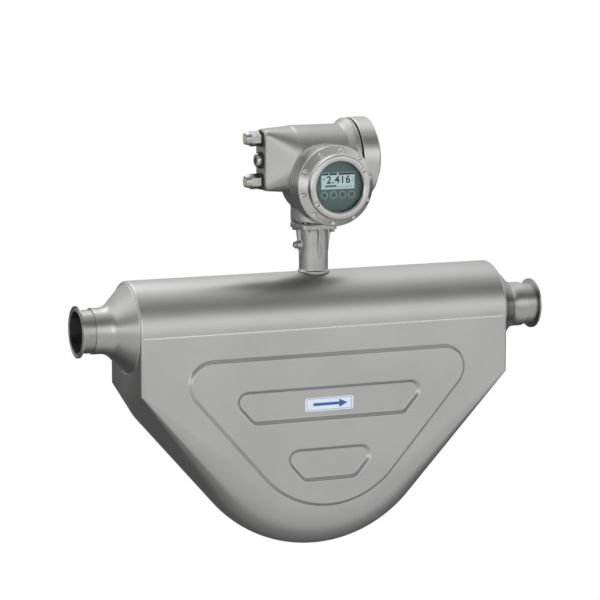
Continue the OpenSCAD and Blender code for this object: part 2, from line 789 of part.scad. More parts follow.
// Two slots across the raised ring, 4 deep from its front
module key_slots(front) for (a = [slot_angle, slot_angle + 180]) rotate([0, 0, a])
    translate([ring_r - 9, -slot_w / 2, front - 4]) cube([16, slot_w, 10]);

module display_cover() color(cast) at_display(0) difference() {
    rotate_extrude() difference() {
        polygon([[0, 0], [cover_r - 0.6, 0], [cover_r, 0.6], [cover_r, skirt_l],
                 [ring_r + 1, skirt_l + shoulder_l], [ring_r, skirt_l + shoulder_l],
                 [ring_r, display_cover_l - 4], [ring_r - 1.2, display_cover_l - 1.2],
                 [ring_r - 4, display_cover_l], [aperture_r + 3, display_cover_l],
                 [aperture_r, display_cover_l - 3], [0, display_cover_l - 3]]);
        cover_thread();
        square([window_r, window_seat]);
        square([aperture_r, display_cover_l]);
    }
    key_pockets(skirt_l + 3);
    key_slots(display_cover_l);
}

module display_window() color([0.8, 0.9, 0.9, 0.4])
    at_display(window_seat - window_t) cylinder(r = window_r, h = window_t);

module window_retainer() color(steel) at_display(window_seat - window_t - retainer_t) difference() {
    cylinder(r = window_r, h = retainer_t);
    translate([0, 0, -1]) cylinder(r = faceplate_r + 0.5, h = retainer_t + 2);
}

module display_cover_seal() at_display(0) cover_seal(display_gap);

module terminal_cover() color(cast) at_terminal(0) difference() {
    rotate_extrude() difference() {
        polygon([[0, 0], [cover_r - 0.6, 0], [cover_r, 0.6],
                 [cover_r, terminal_cover_l - shoulder_step],
                 [ring_r + 1, terminal_cover_l - shoulder_step + 5],
                 [ring_r, terminal_cover_l - shoulder_step + 5],
                 [ring_r - 2, terminal_cover_l], [0, terminal_cover_l]]);
        cover_thread();
        square([mouth_r, spigot_l + 4]);
    }
    key_pockets(terminal_cover_l - shoulder_step + 3);
    key_slots(terminal_cover_l);
}

module terminal_cover_seal() at_terminal(0) cover_seal(terminal_gap);

// ---------------------------------------------------------------- display and electronics

module lcd_rectangle(m) translate([-lcd_w / 2 + m, lcd_rise - lcd_h / 2 + m])
    square([lcd_w - 2 * m, lcd_h - 2 * m]);

module key_row() for (i = [-1.5:1:1.5]) translate([i * key_pitch, -key_drop]) children();

// The four studs that hold faceplate, board and carrier together
module at_studs() for (a = [60, 120, 240, 300]) rotate([0, 0, a]) translate([stud_ring, 0, 0]) children();

module display_faceplate() color([0.25, 0.33, 0.33]) at_display(faceplate_front - faceplate_l) difference() {
    union() {
        cylinder(r = faceplate_r, h = faceplate_l);
        cylinder(r = stack_r, h = 3);
    }
    translate([0, 0, -1]) linear_extrude(faceplate_l - faceplate_t + 1) difference() {
        circle(r = faceplate_r - 2);
        at_studs() circle(r = stud_pad_r);
    }
    translate([0, 0, -1]) linear_extrude(faceplate_l + 2) {
        lcd_rectangle(0);
        key_row() circle(r = key_r + 0.1);
    }
    at_studs() translate([0, 0, -1]) cylinder(r = stud_r, h = 10);
}

module lcd_panel() color([0.62, 0.78, 0.70]) at_display(faceplate_front - faceplate_l)
    linear_extrude(faceplate_l - lcd_depth) lcd_rectangle(0.1);

module optical_keys() color([0.30, 0.42, 0.42]) at_display(faceplate_front - faceplate_l)
    key_row() cylinder(r = key_r, h = faceplate_l + 0.2);

module display_board() color(board_green) at_display(board_z) difference() {
    cylinder(r = stack_r, h = board_t);
    at_studs() translate([0, 0, -1]) cylinder(r = stud_r + 0.2, h = board_t + 2);
}

module electronics_carrier() color([0.12, 0.12, 0.13]) at_display(carrier_z) difference() {
    union() {
        cylinder(r = mouth_r - 1, h = carrier_rim - carrier_z);
        cylinder(r = stack_r, h = carrier_l);
    }
    translate([-38, -30, carrier_floor]) cube([76, 60, carrier_l]);
    translate([0, duct_z - display_z, -1]) cylinder(r = 11, h = carrier_floor + 2);
    translate([0, passage_rise, -1]) cylinder(r = passage_hole_r, h = carrier_floor + 2);
    at_studs() translate([0, 0, carrier_l - 8]) cylinder(r = stud_r, h = 10);
}

// Circuit board on four pillars, with its power supply and its processor
module main_board() color(board_green) at_display(carrier_z + carrier_floor) {
    translate([-37, -29, 4]) cube([74, 58, board_t]);
    for (x = [-30, 30], y = [-10, 24]) translate([x, y, 0]) cylinder(r = 2.5, h = 5);
    translate([-20, -6, 5]) cube([26, 20, 9]);
    translate([14, -12, 5]) cube([12, 12, 4]);
}

module faceplate_screws() color(bolt_steel) at_display(board_z - 6)
    at_studs() cylinder(r = stud_r, h = 14);

// ---------------------------------------------------------------- terminals

module terminal_block() color([0.15, 0.45, 0.30]) head() translate([terminal_floor, 0, terminal_z])
    difference() {
        union() {
            along_x() cylinder(r = terminal_bore_r - 0.5, h = 6);
            translate([5, -24, -22]) cube([30, 48, 44]);
        }
        for (i = [-2:2]) translate([20, i * 9, -30]) cylinder(r = 2.6, h = 60);
        for (i = [-2:2], s = [-1, 1]) translate([30, i * 9, s * 13]) along_x() cylinder(r = 3, h = 10);
        for (s = [-1, 1]) translate([-1, 0, s * 38]) along_x() cylinder(r = 2.25, h = 10);
    }

module terminal_screws() color([0.75, 0.74, 0.70]) head() translate([terminal_floor, 0, terminal_z])
    for (i = [-2:2], s = [-1, 1]) translate([30, i * 9, s * 13]) along_x() difference() {
        cylinder(r = 2.9, h = 3);
        translate([-4, -0.4, 2]) cube([8, 0.8, 2]);
    }

// ---------------------------------------------------------------- cable entries

// Puts what is drawn along +Z on the entry face, pointing out of the housing
module at_entry(dz) head() translate([-entry_x, entry_y, terminal_z + dz]) rotate([0, -90, 0]) children();

module sealing_washer() color(black) difference() {
    cylinder(r = washer_r, h = washer_t);
    translate([0, 0, -1]) cylinder(r = entry_r, h = washer_t + 2);
}

module gland_body() color(steel) difference() {
    union() {
        translate([0, 0, 0.5 - entry_wall]) cylinder(r = entry_r, h = entry_wall + washer_t);
        translate([0, 0, washer_t]) cylinder(r = gland_hex_r, h = gland_hex_h, $fn = 6);
        translate([0, 0, washer_t]) cylinder(r = gland_thread_r, h = gland_thread_end - washer_t);
    }
    translate([0, 0, -entry_wall]) cylinder(r = gland_bore_r, h = 40);
}

module gland_nut() color(steel) difference() {
    union() {
        translate([0, 0, nut_start - 0.5]) cylinder(r = gland_hex_r, h = 11, $fn = 6);
        translate([0, 0, nut_start]) rotate_extrude()
            polygon([[0, 0], [gland_af / 2 - 0.3, 0], [gland_af / 2 - 0.3, nut_l - 8],
                     [gland_af / 2 - 2.2, nut_l], [0, nut_l]]);
    }
    cylinder(r = gland_thread_r + 0.08, h = gland_thread_end + 0.3);
    cylinder(r = gland_bore_r + 0.5, h = 60);
}

module gland_insert() color([0.80, 0.84, 0.55]) translate([0, 0, nut_start + 3])
    cylinder(r = gland_bore_r, h = nut_l - 2.4);

module upper_gland_washer() at_entry(upper_gland_dz) sealing_washer();
module lower_gland_washer() at_entry(-lower_gland_dz) sealing_washer();
module upper_gland_body() at_entry(upper_gland_dz) gland_body();
module lower_gland_body() at_entry(-lower_gland_dz) gland_body();
module upper_gland_nut() at_entry(upper_gland_dz) gland_nut();
module lower_gland_nut() at_entry(-lower_gland_dz) gland_nut();
module upper_gland_insert() at_entry(upper_gland_dz) gland_insert();
module lower_gland_insert() at_entry(-lower_gland_dz) gland_insert();

module plug_washer() at_entry(0) sealing_washer();

// Plug with a hexagon socket; its thread runs free in the entry
module blanking_plug() at_entry(0) color(steel) difference() {
    union() {
        translate([0, 0, 1 - entry_wall]) cylinder(r = entry_r - 0.05, h = entry_wall + washer_t);
        translate([0, 0, washer_t + 0.3]) rotate_extrude()
            polygon([[0, 0], [12.5, 0], [12.5, 4], [10.5, 6.5], [0, 6.5]]);
    }
    translate([0, 0, washer_t + 1]) cylinder(r = 5.8, h = 10, $fn = 6);
}

// ---------------------------------------------------------------- one piece at a time

front_shell();
rear_shell();
top_barrel();
inlet_reducer();
outlet_reducer();
inlet_ferrule();
outlet_ferrule();
inlet_manifold();
outlet_manifold();
front_measuring_tube();
rear_measuring_tube();
inlet_upper_brace();
inlet_lower_brace();
outlet_upper_brace();
outlet_lower_brace();
coil_brackets();
magnet_brackets();
drive_coil();
drive_magnet();
inlet_pickoff_coil();
inlet_pickoff_magnet();
outlet_pickoff_coil();
outlet_pickoff_magnet();
temperature_sensor();
feedthrough();
wiring_loom();
flow_label();
neck();
neck_gasket();
flange_screws();
earth_clamp();
earth_screw();
transmitter_housing();
display_cover();
display_window();
window_retainer();
display_cover_seal();
display_faceplate();
lcd_panel();
optical_keys();
display_board();
electronics_carrier();
main_board();
faceplate_screws();
terminal_cover();
terminal_cover_seal();
terminal_block();
terminal_screws();
upper_gland_washer();
lower_gland_washer();
upper_gland_body();
lower_gland_body();
upper_gland_nut();
lower_gland_nut();
upper_gland_insert();
lower_gland_insert();
blanking_plug();
plug_washer();
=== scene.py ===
import json
import math
import bmesh
import bpy
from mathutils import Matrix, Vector

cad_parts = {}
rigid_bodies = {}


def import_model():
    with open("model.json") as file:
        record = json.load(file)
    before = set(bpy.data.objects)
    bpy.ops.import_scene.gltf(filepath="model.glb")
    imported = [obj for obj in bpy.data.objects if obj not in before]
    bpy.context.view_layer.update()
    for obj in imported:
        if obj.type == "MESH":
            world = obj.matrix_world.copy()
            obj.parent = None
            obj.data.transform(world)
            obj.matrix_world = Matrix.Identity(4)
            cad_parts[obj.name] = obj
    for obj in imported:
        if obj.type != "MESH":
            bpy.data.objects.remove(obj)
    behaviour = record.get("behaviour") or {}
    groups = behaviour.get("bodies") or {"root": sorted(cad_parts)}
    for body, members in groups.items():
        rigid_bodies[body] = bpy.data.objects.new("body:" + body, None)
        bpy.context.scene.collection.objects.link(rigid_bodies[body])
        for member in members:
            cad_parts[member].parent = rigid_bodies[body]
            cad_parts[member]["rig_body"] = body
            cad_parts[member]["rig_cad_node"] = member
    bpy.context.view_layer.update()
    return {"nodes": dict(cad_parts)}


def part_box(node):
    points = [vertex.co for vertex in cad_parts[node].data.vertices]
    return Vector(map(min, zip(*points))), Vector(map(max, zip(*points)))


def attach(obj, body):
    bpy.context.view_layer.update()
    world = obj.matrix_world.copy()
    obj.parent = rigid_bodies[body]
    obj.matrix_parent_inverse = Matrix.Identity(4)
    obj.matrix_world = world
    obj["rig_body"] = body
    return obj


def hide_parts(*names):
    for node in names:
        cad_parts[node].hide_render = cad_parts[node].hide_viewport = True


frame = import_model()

# ---------------------------------------------------------------- studio
# The meter hangs in its pipeline over a studio floor that is pale in front and dark behind. The
# light is that of a white room: bright at the pipe's height in front and from overhead to behind,
# with a darker strip between. The camera itself sees the room and the floor as plain white.
viewpoint, aim = Vector((-1.3059, -4.2206, 0.7378)), Vector((0.4182, 0, 0.032))
camera = bpy.data.objects.new("camera", bpy.data.cameras.new("camera"))
bpy.context.collection.objects.link(camera)
camera.data.lens = 155.0
camera.data.sensor_width = 36.0
camera.data.clip_end = 60
camera.location = viewpoint
camera.rotation_euler = (aim - viewpoint).to_track_quat("-Z", "Y").to_euler()
bpy.context.scene.camera = camera
bpy.context.scene.view_settings.view_transform = "Standard"

room = bpy.data.worlds.new("room")
bpy.context.scene.world = room
room.use_nodes = True
tree = room.node_tree
tree.nodes.clear()


def node(tree, kind, inputs=(), **settings):
    """A node with its settings, and its inputs linked or set by name or number."""
    new = tree.nodes.new(kind)
    for key, value in settings.items():
        setattr(new, key, value)
    for key, value in dict(inputs).items():
        if isinstance(value, bpy.types.NodeSocket):
            tree.links.new(value, new.inputs[key])
        else:
            new.inputs[key].default_value = value
    return new


def ramp(tree, factor, stops):
    """A colour ramp over the factor, its stops given as position and grey or colour."""
    new = node(tree, "ShaderNodeValToRGB", {"Fac": factor})
    new.color_ramp.interpolation = "EASE"
    while len(new.color_ramp.elements) < len(stops):
        new.color_ramp.elements.new(0.5)
    for element, (place, colour) in zip(new.color_ramp.elements, stops):
        element.position = place
        grey = isinstance(colour, (int, float))
        element.color = (colour, colour, colour, 1) if grey else (*colour, 1)
    return new.outputs["Color"]


def maths(tree, first, operation, second):
    """The result of one operation on two values."""
    return node(tree, "ShaderNodeMath", {0: first, 1: second}, operation=operation).outputs[0]


def spread(tree, value, low, high, new_low=0.0, new_high=1.0):
    """The value stretched from one range to another, and held inside it."""
    limits = {"From Min": low, "From Max": high, "To Min": new_low, "To Max": new_high}
    return node(tree, "ShaderNodeMapRange", {"Value": value, **limits}).outputs[0]


def unless_seen(tree, lit, shown):
    """One shader for the light that the piece gives, and another where the camera sees it."""
    ray = node(tree, "ShaderNodeLightPath").outputs["Is Camera Ray"]
    return node(tree, "ShaderNodeMixShader", {0: ray, 1: lit.outputs[0], 2: shown.outputs[0]}).outputs[0]


# the light of the room round the pipe's axis: 0.5 is level in front, 0.75 the ceiling, 1 level behind
direction = node(tree, "ShaderNodeSeparateXYZ", {0: node(tree, "ShaderNodeTexCoord").outputs["Generated"]})
forward = maths(tree, direction.outputs["Y"], "MULTIPLY", -1.0)
round_pipe = maths(tree, direction.outputs["Z"], "ARCTAN2", forward)
panels = ramp(tree, spread(tree, round_pipe, -math.pi, math.pi), [
    (0.00, 0.34), (0.12, 0.18), (0.25, 0.12), (0.37, 0.24), (0.445, 1.02), (0.495, 1.36), (0.545, 1.75),
    (0.61, 0.42), (0.65, 0.30), (0.71, 0.74), (0.78, 1.45), (0.83, 1.50), (0.90, 1.15), (1.00, 0.68)])
to_left = spread(tree, direction.outputs["X"], -1.0, 1.0, 1.05, 0.85)
strength = maths(tree, panels, "MULTIPLY", to_left)
soft = node(tree, "ShaderNodeBackground", {"Color": (1, 1, 1, 1), "Strength": strength})
white = node(tree, "ShaderNodeBackground", {"Color": (1, 1, 1, 1), "Strength": 1.0})
node(tree, "ShaderNodeOutputWorld", {"Surface": unless_seen(tree, soft, white)})

meter_middle = Vector((0.44, 0, 0))
for name, place, size, power in [
        ("front_panel", (-2.2, -2.6, 0.5), 1.4, 4),
        ("rear_panel", (0.2, 1.6, 2.6), 1.8, 12)]:
    lamp = bpy.data.objects.new(name, bpy.data.lights.new(name, "AREA"))
    bpy.context.collection.objects.link(lamp)
    lamp.data.size = size
    lamp.data.energy = power
    lamp.location = place
    lamp.rotation_euler = (meter_middle - lamp.location).to_track_quat("-Z", "Y").to_euler()

bpy.ops.object.select_all(action="DESELECT")
bpy.ops.mesh.primitive_plane_add(size=14, location=(0.44, 0, -0.95))
floor = bpy.context.object
floor.name = "floor"
paint = bpy.data.materials.new("floor_paint")
paint.use_nodes = True
tree = paint.node_tree
pale = tree.nodes["Principled BSDF"]
across = node(tree, "ShaderNodeSeparateXYZ", {0: node(tree, "ShaderNodeTexCoord").outputs["Object"]})
away = spread(tree, across.outputs["Y"], -1.0, 1.0)
shade = ramp(tree, away, [(0.00, 0.90), (0.30, 0.86), (0.52, 0.30), (0.75, 0.09)])
tree.links.new(shade, pale.inputs["Base Color"])
pale.inputs["Roughness"].default_value = 0.8
glow = node(tree, "ShaderNodeEmission", {"Color": (1, 1, 1, 1), "Strength": 1.0})
tree.links.new(unless_seen(tree, pale, glow), tree.nodes["Material Output"].inputs["Surface"])
floor.data.materials.append(paint)

# ---------------------------------------------------------------- flow path
# Two stainless measuring tubes bent to a V, welded into the cast manifolds that split the flow,
# and tied together by two brace plates at each end. Pickled steel, dull from the acid bath.


def surface_effects():
    """Node group: grain, clouds and scratches of a metal surface, over the object's own coordinates."""
    group = bpy.data.node_groups.new("metal_surface", "ShaderNodeTree")
    face = group.interface
    for name, value in [("Grain Scale", 900.0), ("Cloud Scale", 9.0), ("Scratch Scale", 60.0)]:
        face.new_socket(name, in_out="INPUT", socket_type="NodeSocketFloat").default_value = value
    for name in ("Grain", "Clouds", "Scratches"):
        face.new_socket(name, in_out="OUTPUT", socket_type="NodeSocketFloat")
    start, end = group.nodes.new("NodeGroupInput"), group.nodes.new("NodeGroupOutput")
    place = node(group, "ShaderNodeTexCoord").outputs["Object"]
    along_x = node(group, "ShaderNodeVectorMath", {0: place, 1: (0.25, 3.0, 3.0)}, operation="MULTIPLY")
    for result, scale, where, detail, roughness in [
            ("Grain", "Grain Scale", place, 3.0, 0.65),
            ("Clouds", "Cloud Scale", place, 5.0, 0.6),
            ("Scratches", "Scratch Scale", along_x.outputs[0], 6.0, 0.75)]:
        noise = node(group, "ShaderNodeTexNoise", {"Vector": where, "Scale": start.outputs[scale],
                                                   "Detail": detail, "Roughness": roughness})
        group.links.new(noise.outputs["Fac"], end.inputs[result])
    return group


def worn_edges():
    """Node group: 1 along rounded edges, where handling polishes the metal and a painted highlight lightens
    them, and 0 on the open surface.
    """
    group = bpy.data.node_groups.new("worn_edges", "ShaderNodeTree")
    group.interface.new_socket("Width", in_out="INPUT", socket_type="NodeSocketFloat").default_value = 0.0015
    group.interface.new_socket("Edge", in_out="OUTPUT", socket_type="NodeSocketFloat")
    start, end = group.nodes.new("NodeGroupInput"), group.nodes.new("NodeGroupOutput")
    soft = node(group, "ShaderNodeBevel", {"Radius": start.outputs["Width"]}, samples=4)
    sharp = node(group, "ShaderNodeNewGeometry")
    likeness = node(group, "ShaderNodeVectorMath", {0: soft.outputs[0], 1: sharp.outputs["Normal"]},
                    operation="DOT_PRODUCT")
    group.links.new(spread(group, likeness.outputs["Value"], 0.995, 0.90), end.inputs["Edge"])
    return group


metal_surface, edge_wear = surface_effects(), worn_edges()


def metal(name, dark, light, rough, grain=900.0, cloud=9.0, bump=0.12, depth=0.0003, metallic=1.0):
    """A finish: cloudy colour from dark to light, a roughness range, fine grain, and edges lightened by
    handling and by a painted highlight.
    """
    finish = bpy.data.materials.new(name)
    finish.use_nodes = True
    tree = finish.node_tree
    shader = tree.nodes["Principled BSDF"]
    shader.inputs["Metallic"].default_value = metallic
    effects = node(tree, "ShaderNodeGroup", node_tree=metal_surface)
    effects.inputs["Grain Scale"].default_value = grain
    effects.inputs["Cloud Scale"].default_value = cloud
    wear = node(tree, "ShaderNodeGroup", node_tree=edge_wear)
    wear.inputs["Width"].default_value = 0.0012
    tint = ramp(tree, effects.outputs["Clouds"], [(0.30, dark), (0.70, light)])
    # the edges' lighter colour is partly wear and partly a painted highlight
    bright = tuple(min(1.0, 1.25 * share) for share in light)
    worn = node(tree, "ShaderNodeMixRGB",
                {"Fac": wear.outputs["Edge"], "Color1": tint, "Color2": (*bright, 1)})
    tree.links.new(worn.outputs[0], shader.inputs["Base Color"])
    uneven = maths(tree, effects.outputs["Scratches"], "ADD", effects.outputs["Clouds"])
    tree.links.new(spread(tree, uneven, 0.7, 1.3, *rough), shader.inputs["Roughness"])
    relief = node(tree, "ShaderNodeBump",
                  {"Height": effects.outputs["Grain"], "Strength": bump, "Distance": depth})
    tree.links.new(relief.outputs[0], shader.inputs["Normal"])
    return finish


def dress(finish, *names):
    """Gives the finish to carried-over nodes."""
    for name in names:
        mesh = frame["nodes"][name].data
        if not mesh.materials:
            mesh.materials.append(finish)
        for i in range(len(mesh.materials)):
            mesh.materials[i] = finish


pickled = metal("pickled_steel", (0.36, 0.355, 0.345), (0.46, 0.455, 0.44), (0.38, 0.52), cloud=22.0)
dress(pickled, "front_measuring_tube", "rear_measuring_tube")
rough_cast = metal("manifold_casting", (0.34, 0.335, 0.33), (0.43, 0.425, 0.42), (0.45, 0.62), grain=420.0,
                   bump=0.35, depth=0.0006)
dress(rough_cast, "inlet_manifold", "outlet_manifold")
plate_steel = metal("brace_plate", (0.38, 0.375, 0.37), (0.50, 0.495, 0.485), (0.30, 0.42), cloud=30.0)
dress(plate_steel, "inlet_upper_brace", "inlet_lower_brace", "outlet_upper_brace", "outlet_lower_brace",
      "coil_brackets", "magnet_brackets")

# ---------------------------------------------------------------- drive and pick-offs
# Wound coils on formers and their magnets at three stations on the tubes, the ceramic temperature
# sensor, the glass-sealed bushing into the neck, and the glass-fibre loom that joins them.


def ribbed(name, dark, light, rough, scale, axis, metallic=0.0):
    """A finish with fine ribs across an axis, as on windings, sleeving and grips."""
    finish = bpy.data.materials.new(name)
    finish.use_nodes = True
    tree = finish.node_tree
    shader = tree.nodes["Principled BSDF"]
    shader.inputs["Metallic"].default_value = metallic
    effects = node(tree, "ShaderNodeGroup", node_tree=metal_surface)
    place = node(tree, "ShaderNodeTexCoord").outputs["Object"]
    ribs = node(tree, "ShaderNodeTexWave",
                {"Vector": place, "Scale": scale, "Distortion": 0.4, "Detail": 1.0}, bands_direction=axis)
    mixed = maths(tree, ribs.outputs["Fac"], "ADD", effects.outputs["Clouds"])
    tree.links.new(ramp(tree, mixed, [(0.35, dark), (1.0, light)]), shader.inputs["Base Color"])
    tree.links.new(spread(tree, effects.outputs["Clouds"], 0.0, 1.0, *rough), shader.inputs["Roughness"])
    relief = node(tree, "ShaderNodeBump",
                  {"Height": ribs.outputs["Fac"], "Strength": 0.5, "Distance": 0.0004})
    tree.links.new(relief.outputs[0], shader.inputs["Normal"])
    return finish


winding = ribbed("coil_winding", (0.33, 0.10, 0.03), (0.72, 0.30, 0.11), (0.25, 0.4), 180.0, "Y",
                 metallic=1.0)
dress(winding, "drive_coil", "inlet_pickoff_coil", "outlet_pickoff_coil")
nickel = metal("magnet_nickel", (0.30, 0.30, 0.31), (0.42, 0.42, 0.43), (0.22, 0.36))
dress(nickel, "drive_magnet", "inlet_pickoff_magnet", "outlet_pickoff_magnet")
sleeving = ribbed("glass_sleeving", (0.40, 0.36, 0.26), (0.62, 0.58, 0.45), (0.75, 0.9), 300.0,
                  "DIAGONAL")
dress(sleeving, "wiring_loom")
ceramic = metal("sensor_ceramic", (0.66, 0.64, 0.58), (0.78, 0.76, 0.70), (0.35, 0.5), metallic=0.0)
dress(ceramic, "temperature_sensor")
bushing = metal("bushing_glass", (0.09, 0.13, 0.12), (0.14, 0.19, 0.18), (0.08, 0.2), metallic=0.0)
dress(bushing, "feedthrough")

# ---------------------------------------------------------------- sensor case
# Upper half-barrel of rolled sheet and two pressed half-shells, seam-welded to it and to each
# other, 3 mm stainless steel, glass-bead blasted to an even satin grey.
case_steel = metal("blasted_steel", (0.385, 0.385, 0.382), (0.415, 0.415, 0.411), (0.31, 0.36),
                   grain=1500.0, cloud=6.0, bump=0.10, depth=0.0002)
dress(case_steel, "top_barrel")

shell_low, shell_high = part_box("front_shell")
middle_x = (shell_low.x + shell_high.x) / 2
case_half, case_radius, side_radius, sheet_thickness = 0.350, 0.084, 0.006, 0.003
seam_z, side_z = -0.007, -0.108
# the slanted sides touch one circle about (middle_x, outline_z) and turn into the walls at the corners
slope, outline_radius, outline_z = math.radians(48.9), 0.248, -0.164
corner_x = case_half - case_radius
corner_z = outline_z + (corner_x * math.sin(slope) - outline_radius + case_radius) / math.cos(slope)
# the panel starts at panel_top, panel_inset from the slanted sides, and has two recesses in it
press_height, press_ramp, press_steps, press_round = 0.006, 0.0082, 10, 0.25
panel_top, panel_inset, panel_radius = -0.053, 0.087, 0.040
recess_inset, recess_radius, recess_rows = 0.137, 0.0165, [(0.112, 0.056), (0.222, 0.055)]
# a narrow flat beside each ramp, and the hairs that keep faces from lying in one plane
flat_edge, panel_gap, recess_gap = 0.0003, 0.0001, 0.0003


def pick(piece, test, kind="verts"):
    """Selects the vertices, edges or faces that pass the test; vertices with what lies between them."""
    mesh = bmesh.from_edit_mesh(piece.data)
    bpy.ops.mesh.select_all(action="DESELECT")
    for element in getattr(mesh, kind):
        if test(element):
            element.select_set(True)
    if kind == "verts":
        mesh.select_flush(True)
    bmesh.update_edit_mesh(piece.data)


def joined(name, pieces):
    """The pieces as one object with this name, selected and active."""
    bpy.ops.object.select_all(action="DESELECT")
    for piece in pieces:
        piece.select_set(True)
    bpy.context.view_layer.objects.active = pieces[0]
    bpy.ops.object.transform_apply(location=True, rotation=True, scale=True)
    bpy.ops.object.join()
    piece = bpy.context.object
    piece.name = name
    return piece


def coat(piece, finish):
    """Gives the finish to a new piece."""
    piece.data.materials.clear()
    piece.data.materials.append(finish)


def pressed_sheet(corners, y):
    """A flat face in the pressing's plane, its corners given as x, z and radius."""
    bpy.ops.object.select_all(action="DESELECT")
    bpy.ops.mesh.primitive_circle_add(vertices=len(corners), radius=0.05, fill_type="NGON",
                                      location=(0, 0, 0))
    sheet = bpy.context.object
    bpy.ops.object.mode_set(mode="EDIT")
    bpy.ops.mesh.select_mode(type="VERT")
    starts = [vertex.co.copy() for vertex in bmesh.from_edit_mesh(sheet.data).verts]
    for start, (x, z, radius) in zip(starts, corners):
        pick(sheet, lambda vertex: (vertex.co - start).length < 1e-6)
        bpy.ops.transform.translate(value=Vector((x, y, z)) - start)
    for i, (x, z, radius) in enumerate(corners):
        here = Vector((x, z))
        before, after = (Vector(corners[j % len(corners)][:2]) - here for j in (i - 1, i + 1))
        half = before.angle(after) / 2
        # the bevel's reach and its profile that make a true arc of the radius in a corner of this angle
        reach, arc = radius / math.tan(half), (1 - 0.5 / (1 + math.sin(half))) ** 2
        pick(sheet, lambda vertex: (vertex.co - Vector((x, y, z))).length < 1e-6)
        bpy.ops.mesh.bevel(offset_type="OFFSET", offset=reach, segments=18 if radius < 0.1 else 36,
                           profile=arc, affect="VERTICES")
    return sheet


def rounded_step(share):
    """Height of the ramp, 0 to 1, at a share of its width: straight, with both of its edges rounded."""
    if share < press_round:
        height = share ** 2 / (2 * press_round)
    elif share > 1 - press_round:
        height = 1 - press_round - (1 - share) ** 2 / (2 * press_round)
    else:
        height = share - press_round / 2
    return height / (1 - press_round)


def ramped(sheet, rise):
    """Steps the sheet's face inwards over the ramp, by the rise towards the front."""
    bpy.ops.mesh.select_mode(type="FACE")
    bpy.ops.mesh.select_all(action="SELECT")
    bpy.ops.mesh.normals_make_consistent(inside=False)
    if next(iter(bmesh.from_edit_mesh(sheet.data).faces)).normal.y > 0:
        bpy.ops.mesh.flip_normals()
    heights = [rise * rounded_step(i / press_steps) for i in range(press_steps + 1)]
    bpy.ops.mesh.inset(thickness=flat_edge, depth=0, use_even_offset=True)
    for low, high in zip(heights, heights[1:]):
        bpy.ops.mesh.inset(thickness=press_ramp / press_steps, depth=high - low, use_even_offset=True)
    bpy.ops.mesh.inset(thickness=flat_edge, depth=0, use_even_offset=True)
    bpy.ops.object.mode_set(mode="OBJECT")
    return sheet


def level(z, inset, radius):
    """Left and right corners of a pressed outline at one height, the inset away from the slanted sides."""
    reach = (outline_radius - inset + (z - outline_z) * math.cos(slope)) / math.sin(slope)
    return [(middle_x + side * reach, z, radius) for side in (-1, 1)]


def trapezoid(top, height, grow):
    """Corners of a recess, grown by half the ramp."""
    inset, radius = recess_inset - grow, recess_radius + grow
    lower_left, lower_right = level(-top - height - grow, inset, radius)
    return [*level(-top + grow, inset, radius), lower_right, lower_left]


def drawn_form():
    """The drawn half of the case without its panel: side walls, corners and rounded bottom."""
    bpy.ops.object.select_all(action="DESELECT")
    parts = []
    for side in (-1, 1):
        bpy.ops.mesh.primitive_uv_sphere_add(segments=96, ring_count=64, radius=case_radius,
                                             location=(middle_x + side * corner_x, 0, corner_z))
        parts.append(bpy.context.object)
        for depth in (-1, 1):
            corner = (middle_x + side * (case_half - side_radius), depth * (case_radius - side_radius))
            bpy.ops.mesh.primitive_cylinder_add(vertices=48, radius=side_radius, depth=-side_z,
                                                location=(*corner, side_z / 2))
            parts.append(bpy.context.object)
    bpy.ops.mesh.primitive_torus_add(major_radius=outline_radius - case_radius, minor_radius=case_radius,
                                     major_segments=192, minor_segments=96, rotation=(math.pi / 2, 0, 0),
                                     location=(middle_x, 0, outline_z))
    parts.append(bpy.context.object)
    shell = joined("pressed_front_shell", parts)
    bpy.ops.object.mode_set(mode="EDIT")
    bpy.ops.mesh.select_all(action="SELECT")
    bpy.ops.mesh.convex_hull(join_triangles=False)
    for place, across in [((0, 0, seam_z), (0, 0, 1)), ((0, 0, 0), (0, 1, 0))]:
        bpy.ops.mesh.select_all(action="SELECT")
        bpy.ops.mesh.bisect(plane_co=place, plane_no=across, clear_outer=True)
    bpy.ops.mesh.select_all(action="SELECT")
    bpy.ops.mesh.dissolve_limited(angle_limit=math.radians(0.02))
    bpy.ops.mesh.select_all(action="SELECT")
    bpy.ops.mesh.normals_make_consistent(inside=False)
    bpy.ops.mesh.select_mode(type="FACE")
    for place, axis in [(-case_radius, 1), (middle_x - case_half, 0), (middle_x + case_half, 0)]:
        pick(shell, lambda vertex: abs(vertex.co[axis] - place) < 2e-5)
        bpy.ops.mesh.inset(thickness=0.0004, depth=0, use_even_offset=True)
    bpy.ops.object.mode_set(mode="OBJECT")
    wall = shell.modifiers.new("wall", "SOLIDIFY")
    wall.thickness = sheet_thickness
    wall.offset = -1.0
    bpy.ops.object.modifier_apply(modifier="wall")
    return shell


